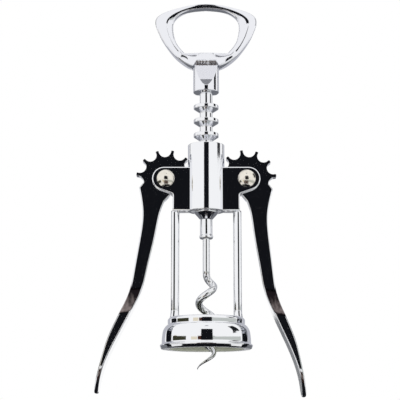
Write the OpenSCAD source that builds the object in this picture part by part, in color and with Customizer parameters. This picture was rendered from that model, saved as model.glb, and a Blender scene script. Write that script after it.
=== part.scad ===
// Wing corkscrew: a cast frame that stands on the bottle, a ringed spindle that slides in it,
// two geared levers that raise the spindle, and a looped handle that turns the worm.
// +Z runs up along the spindle, the origin is the centre of the bell's mouth, -Y is the front.
// Everything is drawn with the levers down, and all sizes are millimetres.

/* [Bell] */
// Height of the bell
bell_h = 14; // [12:0.5:20]
// Thickness of the bell's wall round the liner
bell_wall_t = 3; // [1.6:0.1:5]
// How far the foot rim stands out from the wall
rim_out = 1.1; // [0.6:0.1:3]
// Thickness of the bell's roof above the liner
roof_t = 3.4; // [2.8:0.1:5]
// Radius of the hole in the roof that the cork comes through
cork_hole_r = 11.8; // [9.5:0.1:14]
// Radius of the bottle seat inside the liner
seat_r = 15.2; // [14.5:0.1:18.5]
// Thickness of the liner
liner_t = 1.3; // [0.8:0.1:2]

/* [Legs] */
// Distance from a pivot in to a leg's outer face
leg_inset = 2.5; // [2:0.1:3.5]
// Thickness of a leg, seen from the front
leg_t = 3.7; // [2.8:0.1:4.5]
// Depth of a leg, front to back
leg_d = 6.2; // [4.5:0.1:7.5]
// Height of the open window between the bell and the head
window_h = 47.4; // [39:0.2:60]

/* [Head] */
// Length of the barrel that guides the spindle
barrel_l = 30.6; // [25:0.2:45]
// Thickness of the barrel's wall
barrel_wall = 2.5; // [1.8:0.1:3.5]
// How far the plates' sides stand in from the legs' outer faces
plate_inset = 0.7; // [0:0.1:1.5]
// Thickness of one plate
plate_t = 1.6; // [1.2:0.1:2.4]
// Height of the pivots above the lower edge of the plates
pivot_up = 14.6; // [14.2:0.1:18]
// Radius of an ear's round end
ear_r = 5.3; // [4.5:0.1:6.5]
// How far the ear's round stands out past the pivot
ear_out = 0.8; // [0:0.1:1.5]
// How far below the pivot an ear's lower edge meets the plate's side
ear_drop = 7; // [6.6:0.1:9]
// Radius of a rivet's shank
rivet_r = 2; // [1.6:0.1:2.6]
// Radius of a rivet's domed head
rivet_head_r = 3.95; // [3.3:0.05:4.8]
// Height of a rivet's domed head
rivet_head_h = 1.7; // [1:0.1:2.4]

/* [Levers] */
// Length of a lever below its pivot
lever_l = 95.2; // [80:0.2:115]
// Thickness of a lever between the plates
lever_t = 4.2; // [3:0.1:5.2]
// Width of a lever's paddle, front to back
paddle_w = 14; // [9:0.5:18]
// Radius of the gear's pitch circle, which rolls along the rings
pitch_r = 12.2; // [11:0.1:13.5]
// Height of the teeth outside the pitch circle
tooth_out = 1.2; // [0.8:0.05:1.4]
// Distance from the pitch circle out to the centre of a valley between two teeth
valley_out = 0.75; // [0.6:0.05:0.9]
// Width of a tooth at its waist
tooth_waist = 0.8; // [0.6:0.05:1.6]
// How much further in the right lever rests, within the play of the teeth
right_play = 3.3; // [0:0.1:3.6]

/* [Spindle] */
// Outer radius of the rings
ring_r = 5.7; // [5:0.05:6.9]
// Distance from one ring to the next
ring_pitch = 6.6; // [6:0.05:7.2]
// Height of a ring's rim
ring_rim = 1.65; // [1.2:0.05:1.8]
// Height of the cone under a ring
ring_cone = 1.8; // [1:0.1:2]
// Radius of the core between the rings
core_r = 2.9; // [2.6:0.1:3.4]
// Travel of the spindle down the barrel
travel = 24; // [18:0.5:25]
// Length of the cone at the spindle's lower end
cone_l = 3; // [1.5:0.1:4]

/* [Worm] */
// Radius of the worm's wire
wire_r = 1.6; // [1.3:0.05:1.95]
// Height over which the straight wire swings out into the coil
wire_lead = 7; // [5:0.5:9]
// Radius of the coil's centre line
coil_r = 3.3; // [2.7:0.1:4]
// Pitch of the coil
coil_pitch = 14.5; // [12:0.5:16]
// How far the tip stands below the bell with the levers down
tip_drop = 8.6; // [4:0.2:12]
// Radius of the collar that closes the spindle's lower end
collar_r = 2.8; // [2.4:0.1:3.4]
// Length of the collar
collar_l = 8.8; // [6:0.2:12]

/* [Handle] */
// Radius of the handle's neck
neck_r = 5.9; // [5.9:0.1:7.1]
// Half the width of the handle's loop
loop_half_w = 23.4; // [19.5:0.1:28.5]
// Height of the loop above the neck's lower end
loop_top = 42.5; // [38:0.5:51]
// Half the width of the opening in the loop
opening_half_w = 15.2; // [12:0.1:18]
// Height of the cap lifter's edge above the neck's lower end
lifter_up = 18.6; // [16:0.1:20]
// Thickness of the loop's bar at its crown
crown_bar = 2.2; // [1.6:0.1:4]
// Depth of the loop, front to back, at the cap lifter
loop_d = 6.4; // [5:0.1:9]
// Depth of the loop at its top
loop_top_d = 4.2; // [3.5:0.1:6]
// How far the worm's wire reaches up into the neck
wire_in_neck = 8; // [6:0.5:10]

/* [Fits] */
// Radial clearance of the spindle in the barrel, the rivets in the levers and the wire in the collar
running_gap = 0.08; // [0.03:0.01:0.1]
// Clearance of a lever beside a plate, on each side
side_gap = 0.15; // [0.1:0.05:0.3]
// Clearance between flat faces of the turning and the sliding parts
end_gap = 0.1; // [0.05:0.05:0.2]
// Clearance between the gear teeth and the frame
tooth_gap = 0.4; // [0.3:0.05:0.5]
// Clearance between the pitch circle and the rings' rims
mesh_gap = 0.3; // [0.2:0.05:0.5]
// Height left between the frame and the neck when the spindle is right down
stop_gap = 0.6; // [0.4:0.1:2]

/* [Hidden] */
$fn = 96;
eps = 0.01;

liner_r = seat_r + liner_t;
liner_h = bell_h - roof_t;
wall_r = liner_r + bell_wall_t;
rim_r = wall_r + rim_out;

// The lugs under the legs: their height, their depth into the bell, and their spread
lug_h = 3;
lug_deep = 2.4;
lug_spread = 0.9;

pivot_x = ring_r + mesh_gap + pitch_r;
leg_out = pivot_x - leg_inset;
leg_in = leg_out - leg_t;
bell_top_r = leg_out - 0.1;
plate_half_w = leg_out - plate_inset;
slot_half = lever_t / 2 + side_gap;
plate_half_d = slot_half + plate_t;
plate_z = bell_h + window_h;
barrel_top = plate_z + barrel_l;
pivot_z = plate_z + pivot_up;
plate_top = pivot_z + ear_r;
bore_r = ring_r + running_gap;
barrel_r = bore_r + barrel_wall;
core_bore_r = wire_r + 2 * running_gap;

// The rings are counted from the one that is about level with the pivots.
ring_level = 0.8;
ring_edge = 0.15;
rings_below = floor((pivot_up + ring_level - 2) / ring_pitch);
lowest_ring_top = pivot_z + ring_level - rings_below * ring_pitch + ring_rim / 2;
rack_bottom = plate_z - 0.5;
neck_z = barrel_top + travel + stop_gap;
rack_top = neck_z - end_gap;
rings_above = floor((neck_z - pivot_z - ring_level - 5) / ring_pitch);
cone_end_r = collar_r + 0.1;
collar_top = rack_bottom - cone_l - end_gap;
collar_bottom = collar_top - collar_l;

// The coil's first turn starts at this height, on the right-hand side.
coil_zero_z = -1.5;
coil_start_z = coil_zero_z + 2 * coil_pitch;
wire_straight_z = coil_start_z + wire_lead;

// The teeth are counted from the one just above the line between the pivots, which stands in the
// middle of the gap between two rings.
tooth_step = ring_pitch / pitch_r * 180 / PI;
first_tooth = (ring_level + (ring_pitch - ring_cone) / 2 - 0.1) / pitch_r * 180 / PI;
teeth_up = ceil(travel / ring_pitch) + 1;
tooth_tip_r = pitch_r + tooth_out;
valley_at = pitch_r + valley_out;
valley_r = valley_at * sin(tooth_step / 2) - tooth_waist / 2;
slot_r = tooth_tip_r + tooth_gap;
gear_low = first_tooth - 1.5 * tooth_step;
gear_high = first_tooth + (teeth_up + 0.6) * tooth_step;

// A lever below its hub, as stations of [share of its length, middle, width], seen from the front
// and measured outwards from the pivot.
lever_stations = [[0.105, 5.7, 10.4], [0.158, 6.4, 8], [0.221, 7.2, 7], [0.305, 8.6, 6.6],
                  [0.42, 10.8, 5.9], [0.525, 13, 5.4], [0.62, 16.8, 4.8], [0.704, 20.8, 4.4],
                  [0.777, 24, 3.5], [0.861, 26.9, 2.1], [0.935, 28.8, 1.8], [1, 29.7, 1.7]];
flare_top = -0.525 * lever_l;
flare_bottom = -0.635 * lever_l;

// Half of the handle's outline, as [share of the half width, share of the height], and half of its
// opening, as [share of the opening's half width, share of its height].
loop_outside = [[0, 1], [0.25, 0.99], [0.5, 0.963], [0.78, 0.92], [0.965, 0.86], [1, 0.78], [0.955, 0.7],
                [0.87, 0.598], [0.73, 0.482], [0.59, 0.392], [0.42, 0.32], [0.24, 0.275]];
loop_inside = [[0, 1], [0.52, 0.95], [0.875, 0.81], [1, 0.61], [0.945, 0.32], [0.82, 0.14], [0.655, 0]];

// A smooth curve through the points p, with n steps between two of them.
function spline(p, n = 6) = let (m = len(p)) [for (i = [0:m - 2], s = [0:n - 1]) let (
        a = p[max(i - 1, 0)],
        b = p[i],
        c = p[i + 1],
        d = p[min(i + 2, m - 1)],
        t = s / n
    ) b + 0.5 * t * (c - a + t * (2 * a - 5 * b + 4 * c - d + t * (3 * (b - c) + d - a)))
];
function reversed(p) = [for (i = [len(p) - 1:-1:0]) p[i]];
function mirrored(p) = [for (q = p) [-q[0], q[1]]];

// Extrudes a shape drawn in the front view, from y0 to y1.
module front_view(y0, y1) {
    translate([0, y1, 0]) rotate([90, 0, 0]) linear_extrude(y1 - y0) children();
}

// Extrudes a shape drawn in the side view, [depth, height], over a width w centred on the axis.
module side_view(w) {
    translate([-w / 2, 0, 0]) rotate([90, 0, 90]) linear_extrude(w) children();
}

// A disc or hole along Y at a pivot.
module pivot_round(r, y0, y1) {
    translate([0, y1, 0]) rotate([90, 0, 0]) cylinder(h = y1 - y0, r = r);
}

module both_sides() {
    children();
    mirror([1, 0, 0]) children();
}

// One head plate's outline: a block over the legs with a round ear at each side, whose lower
// edge runs straight from the round to the plate's side.
module plate_outline() {
    corner = [plate_half_w - pivot_x - ear_out, -ear_drop];
    touch = atan2(corner[1], corner[0]) + acos(ear_r / norm(corner));
    both_sides() {
        translate([0, plate_z]) square([plate_half_w, plate_top - plate_z]);
        translate([pivot_x + ear_out, pivot_z]) {
            circle(r = ear_r);
            polygon([corner, ear_r * [cos(touch), sin(touch)], [0, ear_r], [corner[0], ear_r]]);
        }
    }
}

// One leg: a bar with rounded edges that stands on the bell's lug.
module leg() {
    edge_r = 1.5;
    translate([leg_in, 0, bell_h + lug_h]) linear_extrude(window_h - lug_h + eps) {
        translate([0, -leg_d / 2 + edge_r]) square([leg_t, leg_d - 2 * edge_r]);
        translate([edge_r, -leg_d / 2]) square([leg_t - 2 * edge_r, leg_d]);
        for (x = [edge_r, leg_t - edge_r], y = [edge_r - leg_d / 2, leg_d / 2 - edge_r])
            translate([x, y]) circle(r = edge_r);
    }
}

// The frame: the barrel, two plates with ears, the blocks between them and the legs. The gear
// slots are cut round the pivots, and the bore is opened out at both ends.
module frame() color("silver") difference() {
    lower_chamfer = 1;
    upper_chamfer = 0.8;
    union() {
        translate([0, 0, plate_z]) cylinder(h = barrel_l, r = barrel_r);
        for (s = [-1, 1])
            front_view(s * slot_half - (s < 0 ? plate_t : 0), s * slot_half + (s > 0 ? plate_t : 0))
                plate_outline();
        both_sides() {
            leg();
            translate([0, -slot_half - eps, plate_z])
                cube([plate_half_w, 2 * (slot_half + eps), pivot_up]);
        }
    }
    translate([0, 0, plate_z - 1]) cylinder(h = barrel_l + 2, r = bore_r);
    translate([0, 0, plate_z - eps]) cylinder(h = lower_chamfer, r1 = bore_r + lower_chamfer, r2 = bore_r);
    translate([0, 0, barrel_top - upper_chamfer])
        cylinder(h = upper_chamfer + eps, r1 = bore_r, r2 = bore_r + upper_chamfer);
    both_sides() translate([pivot_x, 0, pivot_z]) {
        pivot_round(slot_r, -slot_half, slot_half);
        pivot_round(rivet_r, -plate_half_d - 1, plate_half_d + 1);
    }
}

// A lug on the bell under one leg, spreading towards the bell's shoulder.
module lug() {
    low = bell_h - lug_deep;
    high = bell_h + lug_h;
    half_d = leg_d / 2;
    low_half_d = half_d + lug_spread / 2;
    intersection() {
        front_view(-leg_d, leg_d)
            polygon([[leg_in, low], [leg_out + lug_spread, low], [leg_out, high], [leg_in, high]]);
        side_view(4 * leg_out)
            polygon([[-low_half_d, low], [low_half_d, low], [half_d, high], [-half_d, high]]);
    }
}

// The bell's outside, from the rim up the wall to a bead round the flat top.
bead_r = bell_top_r + 1.6;
bead_z = bell_h - 3.3;
rim_edge = 0.3;
bell_foot = [[0, 0], [rim_r - rim_edge, 0], [rim_r, rim_edge]];
bell_wall = [[rim_r, 0.8], [wall_r + 0.5, 2.3], [wall_r, 4.2], [wall_r - 0.1, 6.5],
             [wall_r - 0.8, bell_h - 5.2], [bead_r, bead_z]];
bell_bead = [[bead_r, bead_z], [bead_r - 0.3, bead_z + 0.3], [bead_r - 0.1, bead_z + 0.7],
             [bead_r - 0.3, bead_z + 1.7], [bead_r - 0.9, bead_z + 2.7], [bell_top_r, bell_h], [0, bell_h]];

module bell() color("silver") difference() {
    union() {
        both_sides() lug();
        rotate_extrude() polygon(concat(bell_foot, spline(bell_wall, 4), bell_bead));
    }
    translate([0, 0, -1]) cylinder(h = bell_h + 2, r = cork_hole_r);
    translate([0, 0, -1]) cylinder(h = liner_h + 1, r = liner_r);
}

// The liner: a cup with a hole, pressed into the bell, whose shelf rests on the bottle's lip. Its
// mouth is opened out, and its lower edge stands just inside the bell's.
module bell_liner() color("darkseagreen") difference() {
    mouth = 0.6;
    cylinder(h = liner_h, r = liner_r);
    translate([0, 0, -1]) cylinder(h = liner_h + 1 - liner_t, r = seat_r);
    translate([0, 0, -1]) cylinder(h = bell_h, r = cork_hole_r);
    translate([0, 0, -eps]) cylinder(h = mouth, r1 = seat_r + mouth, r2 = seat_r);
    difference() {
        translate([0, 0, -eps]) cylinder(h = 0.5, r = liner_r + 1);
        translate([0, 0, -1]) cylinder(h = 2, r = liner_r - 0.2);
    }
}

// A low dome of radius r and height h at depth y, bulging to the front, and to the rear for s = 1.
module dome(r, h, y, s) {
    ball_r = (r * r + h * h) / (2 * h);
    intersection() {
        pivot_round(r, min(y, y + s * h), max(y, y + s * h));
        translate([0, y + s * (h - ball_r), 0]) sphere(r = ball_r);
    }
}

// One rivet: a shank through both plates and the lever, with the head in front and the smaller
// closed end behind.
module rivet() translate([pivot_x, 0, pivot_z]) {
    pivot_round(rivet_r, -plate_half_d - eps, plate_half_d + eps);
    dome(rivet_head_r, rivet_head_h, -plate_half_d, -1);
    dome(rivet_head_r - 0.7, rivet_head_h - 0.5, plate_half_d, 1);
}

module rivet_left() color("gainsboro") mirror([1, 0, 0]) rivet();
module rivet_right() color("gainsboro") rivet();

// The toothed hub in the front view, around the pivot, with the spindle on the -X side.
module gear_outline() {
    far = 2 * tooth_tip_r;
    difference() {
        intersection() {
            circle(r = tooth_tip_r);
            polygon(concat([[0, 0]], [for (a = [gear_low:(gear_high - gear_low) / 8:gear_high + 1])
                [-far * cos(a), far * sin(a)]]));
        }
        for (k = [-2:teeth_up])
            rotate(-(first_tooth + (k + 0.5) * tooth_step)) translate([-valley_at, 0]) circle(r = valley_r);
    }
}

// The arm in the front view: the hub's lower side and the two edges through the stations.
module arm_outline() {
    outer = spline([for (s = lever_stations) [s[1] + s[2] / 2, -s[0] * lever_l]], 4);
    inner = spline([for (s = lever_stations) [s[1] - s[2] / 2, -s[0] * lever_l]], 4);
    polygon(concat([[-6, 4], [-8.4, -4.6], [-2.3, -7]], inner, [[29.1, -lever_l], [30.3, -lever_l]],
                   reversed(outer), [[11.3, -7.5], [12, -3.8], [8, 4]]));
}

// The arm in the side view: flat above, and wide with a long round end at the paddle.
module arm_depth() {
    end_in = 5;
    end_up = 13.5;
    half_w = paddle_w / 2;
    half_t = lever_t / 2;
    waist = [half_t + 0.42 * (half_w - half_t), (flare_top + flare_bottom) / 2];
    half = concat([[half_t, tooth_tip_r + 1]],
                  spline([[half_t, flare_top], waist, [half_w, flare_bottom]], 5),
                  [[half_w, flare_bottom], [half_w, end_up - lever_l]],
                  [for (a = [15:15:90]) [half_w - end_in * (1 - cos(a)), end_up * (1 - sin(a)) - lever_l]]);
    polygon(concat(half, mirrored(reversed(half))));
}

// One lever around its pivot.
module lever() difference() {
    intersection() {
        front_view(-paddle_w, paddle_w) {
            gear_outline();
            arm_outline();
        }
        side_view(120) arm_depth();
    }
    pivot_round(rivet_r + running_gap, -lever_t, lever_t);
}

module lever_left() color("darkslategray")
    mirror([1, 0, 0]) translate([pivot_x, 0, pivot_z]) lever();
module lever_right() color("darkslategray")
    translate([pivot_x, 0, pivot_z]) rotate([0, right_play, 0]) lever();

// The ringed spindle: a core with rings, each with a cone under its rim, turned in one profile.
function ring(z) = let (low = z - ring_rim / 2, high = z + ring_rim / 2)
    [[core_r, low - ring_cone], [ring_r - ring_edge, low], [ring_r, low + ring_edge],
     [ring_r, high - ring_edge], [ring_r - ring_edge, high], [core_r, high]];
ring_heights = [for (k = [1 - rings_below:rings_above]) pivot_z + ring_level + k * ring_pitch];

module spindle_rack() color("lightgray") {
    rotate_extrude() polygon(concat(
        [[core_bore_r, rack_bottom - cone_l], [cone_end_r, rack_bottom - cone_l],
         [ring_r - ring_edge, rack_bottom], [ring_r, rack_bottom + ring_edge],
         [ring_r, lowest_ring_top - ring_edge], [ring_r - ring_edge, lowest_ring_top],
         [core_r, lowest_ring_top]],
        [for (z = ring_heights, q = ring(z)) q],
        [[core_r, rack_top], [core_bore_r, rack_top]]));
}

// The collar on the wire under the spindle, with a small lip at its lower end.
module worm_collar() color("lightgray") difference() {
    lip_r = collar_r + 0.3;
    translate([0, 0, collar_bottom]) rotate_extrude() polygon([
        [0, 0], [lip_r - 0.4, 0], [lip_r, 0.5], [lip_r, 1.3], [collar_r, 1.7],
        [collar_r, collar_l], [0, collar_l]]);
    translate([0, 0, collar_bottom - 1]) cylinder(h = collar_l + 2, r = wire_r + running_gap);
}

// The worm: a straight wire that runs up through the spindle into the handle, and below it a
// right-handed coil whose last turn thins to a point and widens a little.
coil_ring = 24;
coil_sides = 14;
tip_share = 0.12;
tip_widen = 0.6;
coil_top = wire_straight_z + 1.5;
coil_steps = ceil((coil_top + tip_drop) / coil_pitch * coil_ring);
function smooth(t) = let (u = min(max(t, 0), 1)) u * u * (3 - 2 * u);
function coil_height(i) = coil_top - (coil_top + tip_drop) * i / coil_steps;
function coil_turn(z) = let (s = max(z - coil_start_z, 0) / wire_lead)
    360 / coil_pitch * (min(z, coil_start_z) - coil_zero_z + wire_lead * (s - s * s / 2));
function coil_radius(z) = coil_r * smooth((wire_straight_z - z) / wire_lead)
    + tip_widen * smooth(1 - (z + tip_drop) / (0.6 * coil_pitch));
function coil_wire(z) =
    wire_r * (tip_share + (1 - tip_share) * pow(smooth((z + tip_drop) / (1.1 * coil_pitch)), 0.6))
    - (z > wire_straight_z ? 0.03 : 0);
function coil_point(z) = [coil_radius(z) * cos(coil_turn(z)), coil_radius(z) * sin(coil_turn(z)), z];
function unit(v) = v / norm(v);
function coil_section(z) = let (
        way = unit(coil_point(z - 0.05) - coil_point(z + 0.05)),
        side = unit(cross(way, [0, 1, 0])),
        up = cross(side, way)
    ) [for (k = [0:coil_sides - 1]) coil_point(z)
        + coil_wire(z) * (cos(k * 360 / coil_sides) * side + sin(k * 360 / coil_sides) * up)];

module worm() color("silver") {
    points = [for (i = [0:coil_steps]) each coil_section(coil_height(i))];
    last = coil_steps * coil_sides;
    walls = [for (i = [0:coil_steps - 1], k = [0:coil_sides - 1]) let (
            a = i * coil_sides + k,
            b = i * coil_sides + (k + 1) % coil_sides
        ) each [[a, b, a + coil_sides], [b, b + coil_sides, a + coil_sides]]];
    ends = [[for (k = [coil_sides - 1:-1:0]) k], [for (k = [0:coil_sides - 1]) last + k]];
    polyhedron(points, concat(walls, ends));
    translate([0, 0, wire_straight_z])
        cylinder(h = neck_z + wire_in_neck - wire_straight_z, r = wire_r);
}

// The handle's front outline, with the opening cut out of it.
module loop_outline() {
    opening_h = loop_top - crown_bar - lifter_up;
    outside = spline([for (p = loop_outside) [p[0] * loop_half_w, neck_z + p[1] * loop_top]], 5);
    corners = [for (p = loop_inside) [p[0] * opening_half_w, neck_z + lifter_up + p[1] * opening_h]];
    inside = concat(spline(corners, 5), [corners[len(corners) - 1]]);
    foot = [[neck_r - 0.4, neck_z + 10]];
    difference() {
        polygon(concat(outside, foot, reversed(mirrored(foot)), reversed(mirrored(outside))));
        polygon(concat(inside, reversed(mirrored(inside))));
    }
}

// The handle's side outline: the neck's width below, tapering to the cap lifter and the crown.
module loop_side() {
    lifter_z = neck_z + 0.34 * loop_top;
    taper_z = neck_z + 0.5 * loop_top;
    crown_z = neck_z + loop_top + 1;
    front = [[neck_r, neck_z], [loop_d / 2, lifter_z], [loop_d / 2, taper_z], [loop_top_d / 2, crown_z]];
    polygon(concat(front, mirrored(reversed(front))));
}

// The pocket under the cap lifter's edge: two slopes across the neck's front, the upper one steeper.
module cap_pocket() {
    high = neck_z + lifter_up - 5.4;
    low = neck_z + 1.2;
    slopes = [[-1.044 * neck_r, low], [-0.87 * neck_r, low + 4], [-0.45 * neck_r, high]];
    side_view(2 * neck_r) polygon(concat(slopes, [[-2 * neck_r, high], [-2 * neck_r, low]]));
}

module handle() color("silver") difference() {
    union() {
        translate([0, 0, neck_z]) cylinder(h = 0.27 * loop_top, r = neck_r);
        intersection() {
            front_view(-loop_d, loop_d) loop_outline();
            side_view(4 * loop_half_w) loop_side();
        }
    }
    translate([0, 0, neck_z - eps]) cylinder(h = wire_in_neck + 3 * end_gap, r = wire_r + running_gap);
    cap_pocket();
}

frame();
bell();
bell_liner();
rivet_left();
rivet_right();
lever_left();
lever_right();
spindle_rack();
handle();
worm_collar();
worm();
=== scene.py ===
"""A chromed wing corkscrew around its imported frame: looks only, in metres, +Z up along the spindle."""
import math

import bpy
import numpy as np
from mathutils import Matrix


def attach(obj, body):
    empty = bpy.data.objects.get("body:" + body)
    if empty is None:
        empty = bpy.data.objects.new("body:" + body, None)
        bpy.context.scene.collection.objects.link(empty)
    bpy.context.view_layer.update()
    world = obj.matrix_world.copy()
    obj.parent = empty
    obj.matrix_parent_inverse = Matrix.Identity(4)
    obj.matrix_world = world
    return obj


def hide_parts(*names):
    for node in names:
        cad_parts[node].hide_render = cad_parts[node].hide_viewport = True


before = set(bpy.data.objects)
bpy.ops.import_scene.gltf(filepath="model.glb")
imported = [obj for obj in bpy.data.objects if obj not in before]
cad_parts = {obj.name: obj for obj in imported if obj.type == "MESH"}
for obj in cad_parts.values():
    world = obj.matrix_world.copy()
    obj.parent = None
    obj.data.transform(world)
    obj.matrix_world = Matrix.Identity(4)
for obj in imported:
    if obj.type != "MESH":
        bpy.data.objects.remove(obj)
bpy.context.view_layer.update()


# ---------------------------------------------------------------- bell
# The bell is the foot that stands on the bottle: a thin cup with a foot rim, a rounded wall and a
# flat roof with a hole. It is a zinc casting, polished and chromed, cast in one with two lugs.

MM = 0.001  # sizes are written in millimetres, and meshes and patterns are made in metres


def eased(points, steps=6, guard=0.03):
    """A closed polyline whose corners are rounded. Each point is (x, y, size): its corner becomes
    a parabola that starts and ends size away from it, with a guard point just outside each end,
    so that the flats beside it stay flat when they are shaded."""
    p = np.array([q[:2] for q in points], float)
    size = np.array([q[2] for q in points], float)[:, None]
    back = np.roll(p, 1, 0) - p
    ahead = np.roll(p, -1, 0) - p
    back /= np.linalg.norm(back, axis=1, keepdims=True)
    ahead /= np.linalg.norm(ahead, axis=1, keepdims=True)
    a = (p + back * size)[:, None]
    b = (p + ahead * size)[:, None]
    t = np.linspace(0, 1, steps)[None, :, None]
    arcs = (1 - t) ** 2 * a + 2 * t * (1 - t) * p[:, None] + t ** 2 * b
    ends = a + guard * back[:, None], b + guard * ahead[:, None]
    return np.concatenate([ends[0], arcs, ends[1]], 1).reshape(-1, 2)


def revolved(profile, turns=160):
    """A closed profile of (radius, height) carried round the Z axis: ring k is the profile turned
    by k / turns of a full turn."""
    a = np.arange(turns) * 2 * math.pi / turns
    r, z = profile[:, 0], profile[:, 1]
    return np.stack([np.outer(np.sin(a), r), np.outer(-np.cos(a), r), np.tile(z, (turns, 1))], -1)


def skin(rings, loop=False, caps=None):
    """Vertices and faces of a closed surface through rings of points, an array [ring, point, xyz].
    Neighbouring rings are joined by quads, the last to the first where loop is true. Otherwise
    both ends are closed by caps, lists of points along a ring, or by one face each. Everything is
    turned over if the volume that it encloses, the sum of its corners' triple products, is negative."""
    m, n = rings.shape[:2]
    i = np.arange(m if loop else m - 1)[:, None]
    j = np.arange(n)[None, :]
    k = (i + 1) % m
    quads = np.stack([i * n + j, i * n + (j + 1) % n, k * n + (j + 1) % n, k * n + j], -1).reshape(-1, 4)
    verts = rings.reshape(-1, 3)
    a, b, c, d = (verts[quads[:, q]] - verts.mean(0) for q in range(4))
    volume = (np.cross(a, b) * c).sum() + (np.cross(a, c) * d).sum()
    faces = quads.tolist()
    if not loop:
        for cap in (caps or [list(range(n))]):
            first = cap[::-1]
            last = [(m - 1) * n + q for q in cap]
            faces += [first, last]
            for face in (first, last):
                p = verts[face] - verts.mean(0)
                volume += (np.cross(p[0], p[1:-1]) * p[2:]).sum()
    return verts, faces if volume > 0 else [f[::-1] for f in faces]


def piece(name, parts, body, replaced, material):
    """One object from parts, each (vertices in mm, faces). It rides on a body, stands for one CAD
    node and takes the given material. It is shaded smooth, apart from faces of more than four
    corners, which are a casting's flat faces."""
    verts, faces, base = [], [], 0
    for v, f in parts:
        verts.append(v * MM)
        faces += [[i + base for i in q] for q in f]
        base += len(v)
    mesh = bpy.data.meshes.new(name)
    mesh.from_pydata(np.concatenate(verts).tolist(), [], faces)
    mesh.polygons.foreach_set("use_smooth", [len(f) <= 4 for f in faces])
    mesh.materials.append(material)
    mesh.update()
    obj = bpy.data.objects.new(name, mesh)
    bpy.context.scene.collection.objects.link(obj)
    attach(obj, body)
    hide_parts(replaced)


def linear(hex_colour):
    """An sRGB hex colour as linear red, green and blue, with an alpha of 1."""
    c = np.array([int(hex_colour[i:i + 2], 16) for i in (1, 3, 5)]) / 255
    return (*np.where(c <= 0.04045, c / 12.92, ((c + 0.055) / 1.055) ** 2.4).tolist(), 1)


def add(tree, kind, links=None, **settings):
    """A node of this kind in tree. Settings that name a property set it. The entries of links go
    to the inputs of that name, a socket as a link and anything else as a value."""
    new = tree.nodes.new(kind)
    for key, value in settings.items():
        setattr(new, key, value)
    for key, value in (links or {}).items():
        if isinstance(value, bpy.types.NodeSocket):
            tree.links.new(value, new.inputs[key])
        else:
            new.inputs[key].default_value = value
    return new


def blank(name):
    """A new material and its node tree, emptied."""
    material = bpy.data.materials.new(name)
    material.use_nodes = True
    material.node_tree.nodes.clear()
    return material, material.node_tree


# The plate's small faults, which every chromed piece shares. GRAIN_LOW and GRAIN_HIGH are values
# that the grain's noise seldom passes, and there it blurs by BLUR_LEAST and by BLUR_MOST.
PIT_APART = 1.6
PIT_CORE = 0.05
PIT_EDGE = 0.11
PIT_COLOUR = "#2A2724"
GRAIN_H = 0.0004
GRAIN_LOW = 0.3
GRAIN_HIGH = 0.75
BLUR_LEAST = 0.6
BLUR_MOST = 1.7


def chrome(name, tone, grain_w, wave_w, wave_h, rough, pits=0.02):
    """Chrome plate over polished metal. The polishing wheel leaves soft waves, wave_w wide and
    wave_h high, and a grain of scratches, which blurs what the plate mirrors by rough times a
    value between BLUR_LEAST and BLUR_MOST. The real scratches are some hundredths of a millimetre
    wide, too fine to show, so they are drawn grain_w wide. A share pits of the cells, PIT_APART
    wide, hold a pin-head pit: a dark fleck, full within PIT_CORE of a cell's middle and gone at
    PIT_EDGE."""
    material, tree = blank(name)
    place = add(tree, "ShaderNodeTexCoord").outputs["Object"]
    waves = add(tree, "ShaderNodeTexNoise",
                {"Vector": place, "Scale": 1 / (wave_w * MM), "Detail": 1.0, "Roughness": 0.4})
    grain = add(tree, "ShaderNodeTexNoise",
                {"Vector": place, "Scale": 1 / (grain_w * MM), "Detail": 3.0, "Roughness": 0.6})
    cells = add(tree, "ShaderNodeTexVoronoi", {"Vector": place, "Scale": 1 / (PIT_APART * MM)})
    pit = add(tree, "ShaderNodeMapRange", {"Value": cells.outputs["Distance"], "From Min": PIT_CORE,
                                           "From Max": PIT_EDGE, "To Min": 1.0, "To Max": 0.0})
    chance = add(tree, "ShaderNodeSeparateColor", {"Color": cells.outputs["Color"]})
    rare = add(tree, "ShaderNodeMath", {0: chance.outputs["Red"], 1: pits}, operation="LESS_THAN")
    pitted = add(tree, "ShaderNodeMath", {0: pit.outputs["Result"], 1: rare.outputs[0]},
                 operation="MULTIPLY")
    tint = add(tree, "ShaderNodeMix", {"Factor": pitted.outputs[0], "A": linear(tone),
                                       "B": linear(PIT_COLOUR)}, data_type="RGBA")
    dull = add(tree, "ShaderNodeMapRange",
               {"Value": grain.outputs["Fac"], "From Min": GRAIN_LOW, "From Max": GRAIN_HIGH,
                "To Min": rough * BLUR_LEAST, "To Max": rough * BLUR_MOST})
    swell = add(tree, "ShaderNodeBump", {"Height": waves.outputs["Fac"], "Distance": wave_h * MM})
    relief = add(tree, "ShaderNodeBump", {"Height": grain.outputs["Fac"], "Distance": GRAIN_H * MM,
                                          "Normal": swell.outputs["Normal"]})
    metal = add(tree, "ShaderNodeBsdfPrincipled",
                {"Base Color": tint.outputs["Result"], "Metallic": 1.0,
                 "Roughness": dull.outputs["Result"], "Normal": relief.outputs["Normal"]})
    add(tree, "ShaderNodeOutputMaterial", {"Surface": metal.outputs["BSDF"]})
    return material


# Polished chrome plate looks black and white: it mirrors the dark cards and the white room with
# sharp edges, which wander a little over the polishing waves.
cast_chrome = chrome("Chrome plate on polished zinc", "#F1F2F5", 0.25, 9, 0.02, 0.05)

# The bell's radii and heights. The bead is the upright step round its shoulder.
RIM_R = 20.6
RIM_H = 1.7
WALL_R = 19.6
LINER_R = 16.5
BELL_H = 14
ROOF_Z = 10.6
CORK_R = 11.8
BEAD_R = 17.05
BEAD_LOW = 10.8
BEAD_TOP = 12.9

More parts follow.
